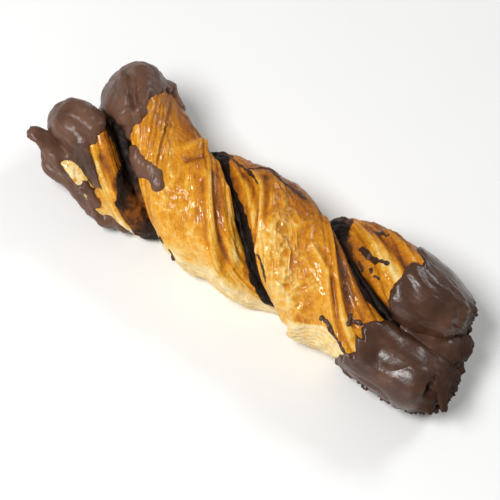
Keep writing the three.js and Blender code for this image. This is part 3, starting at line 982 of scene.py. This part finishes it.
# Lumps and dents in the coats at the start, as soft spots.
START_LUMPS = {
    "strand_a": [(-81.5, -6, 4, 6, -2)],
    "strand_b": [
        (-62, -20, 2.6, 16, 2), (-66, 0, 1.8, 20, -0.8), (-72, 30, 8, 28, -0.9), (-73, 122, 5, 12, 1.6),
    ],
}
# The drop and the crest in the coat of strand b, by the stations and angles of their bends.
DROP = SimpleNamespace(path=[(-65, 102), (-63.2, 87)], half=2.9, height=3)
CREST = SimpleNamespace(path=[(-80, 78), (-73, 89), (-68, 96), (-65, 97)], height=3)
# The middle of the tongue of chocolate on strand a that is painted darker, as painted shade.
SHADED_TONGUE = np.array([-68.5, -21.2, 32])


def wobble(s, seed):
    """How far an edge of chocolate wanders."""
    return 0.45 * layered_noise(stacked(s.x, ARC * s.angle, 0), 2.6, seed, 2)


def ragged(s, cover, amount, seed):
    """A cover whose edge is uneven."""
    return np.where(cover > -3, cover + amount * layered_noise(s.points, 1.8, seed, 2), cover)


def lumps_on(s, seed, size):
    """Uneven chocolate: broad lumps with a few soft creases."""
    return 0.65 * layered_noise(s.points, size, seed, 2) - 0.5 * ridges(s.points, size, seed + 3, 5)


def scuffs_on(s, seed):
    """Fine unevenness of set chocolate: small bumps and a few thin lines."""
    return 0.22 * layered_noise(s.points, 2.4, seed, 2) - 0.35 * ridges(s.points, 5, seed + 3, 14)


def knob_on(a):
    """The knob on the tip of strand a's lip, and the neck behind it."""
    x = a.points[..., 0]
    return (1.5 * bell(x, -95, 3.5) - 0.8 * bell(x, -89, 2.5)) * bell(a.angle, LIPS[0].angle, 16)


def crest_on(b):
    """A crest that is steep on one side, with a groove along its foot there."""
    beside = ARC * (b.angle - np.interp(b.x, *zip(*CREST.path)))
    crest = np.where(beside > 0, bell(beside, 0, 6), ease(-0.5, 0, beside)) - 0.8 * bell(beside, -1.4, 1.3)
    return CREST.height * crest * ease(-80, -74, b.x) * ease(-63, -67, b.x)


def left_dip():
    a = dough_surface(STRAND_A, STRAND_A.start, -42, COAT_GRID)
    cover_a = edge_at(A_START_EDGE, a.angle) - a.x
    band = np.minimum(ARC * (a.angle - np.interp(a.x, *zip(*A_FOOT_EDGE))), -46 - a.x)
    cover_a = np.maximum(cover_a, np.where((a.facing > 180) & (a.facing < 330), band, -9))
    cover_a = np.maximum(cover_a, ragged(a, strokes_on(a, LEDGE_CLUMP), 1.4, 85))
    lumps_a = lumps_on(a, 51, 8) + scuffs_on(a, 55) + spots_at(a, START_LUMPS) + knob_on(a)
    b = dough_surface(STRAND_B, STRAND_B.start, -38, COAT_GRID)
    from_drop = away_from(b, DROP.path)
    cover_b = np.maximum(edge_at(B_START_EDGE, b.angle) - b.x, strokes_on(b, B_START_STROKES))
    cover_b = np.maximum(cover_b, DROP.half - 0.1 - from_drop)
    lumps_b = lumps_on(b, 52, 8) + scuffs_on(b, 56) + spots_at(b, START_LUMPS) + crest_on(b)
    lumps_b = lumps_b + DROP.height * np.sqrt(np.clip(1 - (from_drop / DROP.half) ** 2, 0, 1))
    points, faces = joined([
        shell(a, cover_a + wobble(a, 81), 1.2, lumps_a, foot=1),
        shell(b, cover_b + wobble(b, 82), 1.5, lumps_b),
    ])
    # Painted shade: the chocolate is painted darker round the tongue; the rest of the left dip is lighter
    # and more matte.
    from_shaded_tongue = np.linalg.norm(points - SHADED_TONGUE, axis=1)
    values = {"crumbly": 0.6 * ease(6, 2, points[:, 2]), "dull_and_shade": 1 - 1.4 * bell(from_shaded_tongue, 0, 8)}
    new_piece("dip_left_chocolate", points, faces, values, "chocolate", "dip_left")


# The chocolate between the two tips.
WEB = SimpleNamespace(at=66, reach=16, half_thick=10, half_width=17.5, down=3.6)


def rounded_grid(rows, columns, tip):
    """A grid over a rounded form: from -1 to 1 along it, its width there from 0 to 1, and the way round.
    It leaves out a share of each tip."""
    t = np.linspace(tip, 1 - tip, rows)[:, None]
    around = 2 * np.pi * np.arange(columns)[None, :] / columns
    along = -np.cos(np.pi * t) + 0 * around
    return along, (1 - np.abs(along) ** 3) ** (1 / 3), around


def web_shell():
    """The chocolate that fills the cleft between the two tips."""
    along, share, around = rounded_grid(60, 72, 0.03)
    x = WEB.at + WEB.reach * along
    p = WEB.half_thick * share * np.sin(around)
    q = WEB.half_width * share * np.cos(around) - WEB.down
    points = place(x, turn_at(x), p, q, 0)
    rough = 0.6 + 1.2 * ease(0.5, 0.95, along)
    points += normals_of(points) * (rough * layered_noise(points, 4.5, 64))[..., None]
    points[..., 2] = np.maximum(points[..., 2], 0)
    return closed(points, True)


def crumb(middle, out, along, half, rough, seed, rows=9, columns=12, taper=0.0):
    """A closed, uneven crumb of chocolate with its own half sizes outward, along and across."""
    out = out / np.linalg.norm(out)
    across = np.cross(out, along)
    across = across / np.linalg.norm(across)
    along = np.cross(across, out)
    length, share, around = rounded_grid(rows, columns, 0.06)
    square = (np.abs(np.cos(around)) ** 4 + np.abs(np.sin(around)) ** 4) ** -0.25
    thick = half[0] * share * square * np.cos(around)
    wide = half[2] * share * square * np.sin(around) * (1 - taper * length)
    local = stacked(thick, half[1] * length, wide)
    local = local * (1 + rough * layered_noise(local, 0.7 * np.mean(half), seed))[..., None]
    points, faces = closed(middle + local @ np.stack([out, along, across]), False)
    points[:, 2] = np.maximum(points[:, 2], 0)
    return points, faces


def crumbs_on(s, wanted, count, seed):
    """Crumbs at random places among the wanted points of a surface."""
    draw = np.random.default_rng(seed)
    places = np.argwhere(wanted)
    chosen = places[draw.choice(len(places), count, replace=False)]
    made = []
    for i, (row, column) in enumerate(chosen):
        out = s.normals[row, column] + draw.normal(0, 0.3, 3)
        middle = s.points[row, column] + 1.1 * s.normals[row, column]
        half = (draw.uniform(0.8, 1.6), draw.uniform(0.6, 1.8), draw.uniform(0.5, 1.2))
        made.append(crumb(middle, out, draw.normal(0, 1, 3), half, 0.45, seed + i))
    return made


# The flap of chocolate that hangs off the end of strand a.
FLAP = SimpleNamespace(
    at=(81.0, -18.4, 26.5), out=(0.53, -0.11, 0.78), along=(0.62, -0.6, -0.5), half=(0.8, 6.8, 2.9),
    taper=0.4,
)


def flap():
    axes = np.array(FLAP.at), np.array(FLAP.out), np.array(FLAP.along)
    return crumb(*axes, FLAP.half, 0.3, 5, 30, 40, FLAP.taper)


def right_dip():
    a = dough_surface(STRAND_A, 30, STRAND_A.end, COAT_GRID)
    strokes = ragged(a, strokes_on(a, A_END_STROKES), 0.6, 86)
    cover_a = np.maximum(a.x - edge_at(A_END_EDGE, a.angle), strokes)
    b = dough_surface(STRAND_B, 38, STRAND_B.end, COAT_GRID)
    cover_b = b.x - edge_at(B_END_EDGE, b.angle)
    low_a = (a.x > 47) & (a.facing > 196) & (a.facing < 240)
    tip_a = (a.normals[..., 0] > 0.6) & (a.points[..., 2] < 20)
    tip_b = (b.normals[..., 0] > 0.55) & (b.points[..., 2] < 26)
    crags_a = ease(0.3, 0.7, a.normals[..., 0]) + ease(186, 204, a.facing) * ease(250, 225, a.facing)
    crags_b = ease(0.45, 0.75, b.normals[..., 0])
    lumps_a = 1.4 * lumps_on(a, 53, 12) + 1.7 * crags_a * layered_noise(a.points, 3, 57)
    lumps_a = lumps_a + 1.2 * spots_at(a, END_HOLLOW)
    lumps_b = 1.3 * lumps_on(b, 54, 12) + 1.7 * crags_b * layered_noise(b.points, 3, 58)
    points, faces = joined([
        shell(a, cover_a + wobble(a, 83), 1.3, lumps_a, foot=1),
        shell(b, cover_b + wobble(b, 84), 1.2, lumps_b),
        web_shell(),
        flap(),
        *crumbs_on(a, low_a, 44, 21),
        *crumbs_on(a, tip_a, 22, 22),
        *crumbs_on(b, tip_b, 16, 23),
    ])
    crumbly = np.maximum(ease(9, 5, points[:, 2]), ease(73, 80, points[:, 0]))
    values = {"crumbly": crumbly, "dull_and_shade": np.zeros(len(points))}
    new_piece("dip_right_chocolate", points, faces, values, "chocolate", "dip_right")


def spill_piece():
    shells = []
    for strand, low, high in ((STRAND_A, -74, 54), (STRAND_B, -50, 55)):
        s = dough_surface(strand, low, high, SPILL_GRID)
        edge = spill_edge(s)
        cover = edge + 0.6 * layered_noise(s.points, 3.4, 61, 2) * ease(3, 1, edge)
        within = ARC * (158 - np.abs(s.angle))
        cover = np.minimum(np.minimum(cover, within), np.minimum(s.x - low - 1, high - 1 - s.x))
        lumps = 0.5 * layered_noise(s.points, 2.6, 62, 2) + 0.35 * noise(s.points, 1.4, 66)
        shells.append(shell(s, cover, 0.45, lumps, 0.8))
    points, faces = joined(shells)
    crumbs = 0.6 * bell(points[:, 0], -47, 6)
    new_piece("filling_spill", points, faces, {"crumb": crumbs}, "filling")


# Drizzle and smears of chocolate on the crust, as strokes, and the lumps in them, as soft spots.
SMEARS = {
    "strand_a": [
        [(-29.9, 98, 0.55), (-23.8, 90, 0.45), (-18.4, 87, 0.35), (-14, 84, 0)],
        [
            (-20.3, 86, 0.4), (-17.3, 70, 0.5), (-13.5, 50, 0.8), (-8.3, 36, 0.9), (-3.2, -14, 1.1),
            (1.8, -35, 0),
        ],
        [(-0.1, 97, 0.5), (4.1, 90, 0.6), (7.1, 88, 0)], [(-33.5, 99, 1.6), (-30.5, 94, 0)],
    ],
    "strand_b": [
        [(29.3, 110, 1.3), (32.9, 108, 1.0), (36.9, 103, 0.6), (41.1, 93, 0)],
        [(15, 92, 2), (19.5, 96, 1.5), (21.5, 101, 0)], [(24.5, 82, 0.6), (25.5, 80, 0)],
        [(36.2, 114, 0.5), (36.9, 115, 0)], [(38.7, 114, 0.6), (40.4, 111, 0)],
        [(30.5, 80, 0.6), (35, 75, 0)], [(31.2, 121, 0.6), (34, 123, 0)],
        [(-29, 64, 0.5), (-26, 60, 0)], [(-33.5, 70, 0.5), (-32, 68, 0)],
    ],
}
SMEAR_LUMPS = {"strand_a": [(-32, 96, 3, 9, 1)], "strand_b": [(18, 96, 4, 12, 1.6)]}


def smears_piece():
    shells = []
    for strand, low, high in ((STRAND_A, -38, 12), (STRAND_B, -38, -22), (STRAND_B, 11, 46)):
        s = dough_surface(strand, low, high, SMEAR_GRID)
        cover = ragged(s, strokes_on(s, SMEARS[strand.name]), 0.45, 63)
        cover = np.minimum(cover, np.minimum(s.x - low - 1, high - 1 - s.x))
        shells.append(shell(s, cover, 0.35, spots_at(s, SMEAR_LUMPS), 0.6))
    points, faces = joined(shells)
    values = {"crumbly": np.full(len(points), 0.4), "dull_and_shade": np.zeros(len(points))}
    new_piece("chocolate_smears", points, faces, values, "chocolate")


FILLING_FROM = -75
FILLING_TO = 72
FILLING_HALF_WIDTH = 15.5


def wall_at(strand, x, q):
    """How far from the middle of the seam the wall of a strand is."""
    swell = swell_at(strand, x)
    outside = np.abs(q / (LOBE_HALF_WIDTH * swell)) ** LOBE_POWER
    bulge = np.maximum(0, 1 - outside) ** (1 / LOBE_POWER)
    return keep_above(half_gap_at(x), swell * (LOBE_OUT - LOBE_HALF_THICK * bulge))


def filling_piece():
    rows, columns = 330, 72
    v = np.linspace(0.002, 0.998, rows)[:, None]
    around = 2 * np.pi * np.arange(columns)[None, :] / columns
    x = FILLING_FROM + (FILLING_TO - FILLING_FROM) * v + 0 * around
    end = np.maximum(0, 1 - np.abs(2 * v - 1) ** 12) ** 0.5
    q = np.cos(around) * end * FILLING_HALF_WIDTH * swell_at(STRAND_A, x) * (1 - 0.5 * ease(52, 60, x))
    half = np.minimum(wall_at(STRAND_A, x, q), wall_at(STRAND_B, x, q)) + 0.1
    p = np.sign(np.sin(around)) * np.abs(np.sin(around)) ** 0.5 * end * half
    points = place(x, turn_at(x), p, q, 1)
    points += normals_of(points) * (0.5 * layered_noise(points, 3.5, 91))[..., None]
    points, faces = closed(points, True)
    crumbs = np.append(0.6 * bell(x, -46, 6), [0, 0])
    new_piece("filling_ribbon", points, faces, {"crumb": crumbs}, "filling", "filling")


for strand in (STRAND_A, STRAND_B):
    strand_piece(strand)
left_dip()
right_dip()
filling_piece()
spill_piece()
smears_piece()


# The camera looks at the twist from the front and above, and leans to its side.
CAMERA_AZIMUTH = 8.383
CAMERA_ELEVATION = 56.72
CAMERA_ROLL = 25.146
CAMERA_DISTANCE = 760
CAMERA_LENS = 150
CAMERA_TARGET = np.array([-4.9, -4.3, 16.4])


def camera_axes():
    """The camera's right, up and back."""
    azimuth, elevation, roll = np.radians([CAMERA_AZIMUTH, CAMERA_ELEVATION, CAMERA_ROLL])
    level = np.array([math.cos(azimuth), math.sin(azimuth), 0])
    forward = np.array([-math.sin(azimuth), math.cos(azimuth), 0])
    back = np.array([0, 0, math.sin(elevation)]) - math.cos(elevation) * forward
    upright = np.cross(back, level)
    right = math.cos(roll) * level + math.sin(roll) * upright
    return right, np.cross(back, right), back


def make_camera():
    right, up, back = camera_axes()
    place_at = (CAMERA_TARGET + SHIFT + CAMERA_DISTANCE * back) * MM
    camera = bpy.data.objects.new("camera", bpy.data.cameras.new("camera"))
    camera.data.lens = CAMERA_LENS
    camera.data.sensor_width = 36
    camera.data.sensor_fit = "HORIZONTAL"
    turned = np.eye(4)
    turned[:3, 0], turned[:3, 1], turned[:3, 2], turned[:3, 3] = right, up, back, place_at
    camera.matrix_world = Matrix(turned.tolist())
    bpy.context.scene.collection.objects.link(camera)
    bpy.context.scene.camera = camera


# The lights: name, direction, distance in metres, size in metres, watts.
LIGHTS = [
    ("key", (-0.3, -0.65, 0.95), 0.9, 0.26, 7.4),
    ("back", (0.3, 0.8, 0.8), 1.0, 0.25, 2.6),
    ("front", (0.2, -1.0, 0.18), 1.1, 0.4, 1.2),
]
SKY_STRENGTH = 0.2
FLOOR_REACH = 3.0


def area_light(name, toward, distance, size, watts):
    """A square soft light that shines on the twist from a direction."""
    light = bpy.data.lights.new(name, "AREA")
    light.size = size
    light.energy = watts
    lamp = bpy.data.objects.new(name, light)
    direction = Vector(toward).normalized()
    lamp.location = direction * distance
    lamp.rotation_euler = direction.to_track_quat("Z", "Y").to_euler()
    bpy.context.scene.collection.objects.link(lamp)


def make_stage():
    """A pale floor and soft white light all round."""
    mesh = bpy.data.meshes.new("floor")
    square = [(-1, -1), (1, -1), (1, 1), (-1, 1)]
    mesh.from_pydata([(FLOOR_REACH * x, FLOOR_REACH * y, 0) for x, y in square], [], [(0, 1, 2, 3)])
    floor = bpy.data.objects.new("floor", mesh)
    bpy.context.scene.collection.objects.link(floor)
    paper = Shader("paper")
    shade = paper.ramp(paper.noise(40, 2), [(0.0, (244, 244, 243)), (1.0, (247, 247, 246))])
    paper.look(Base_Color=shade, Roughness=0.9)
    mesh.materials.append(paper.material)
    world = bpy.data.worlds.new("studio")
    world.use_nodes = True
    background = world.node_tree.nodes["Background"]
    background.inputs["Color"].default_value = (1, 1, 1, 1)
    background.inputs["Strength"].default_value = SKY_STRENGTH
    bpy.context.scene.world = world
    for light in LIGHTS:
        area_light(*light)


make_camera()
make_stage()
bpy.context.scene.view_settings.view_transform = "Standard"
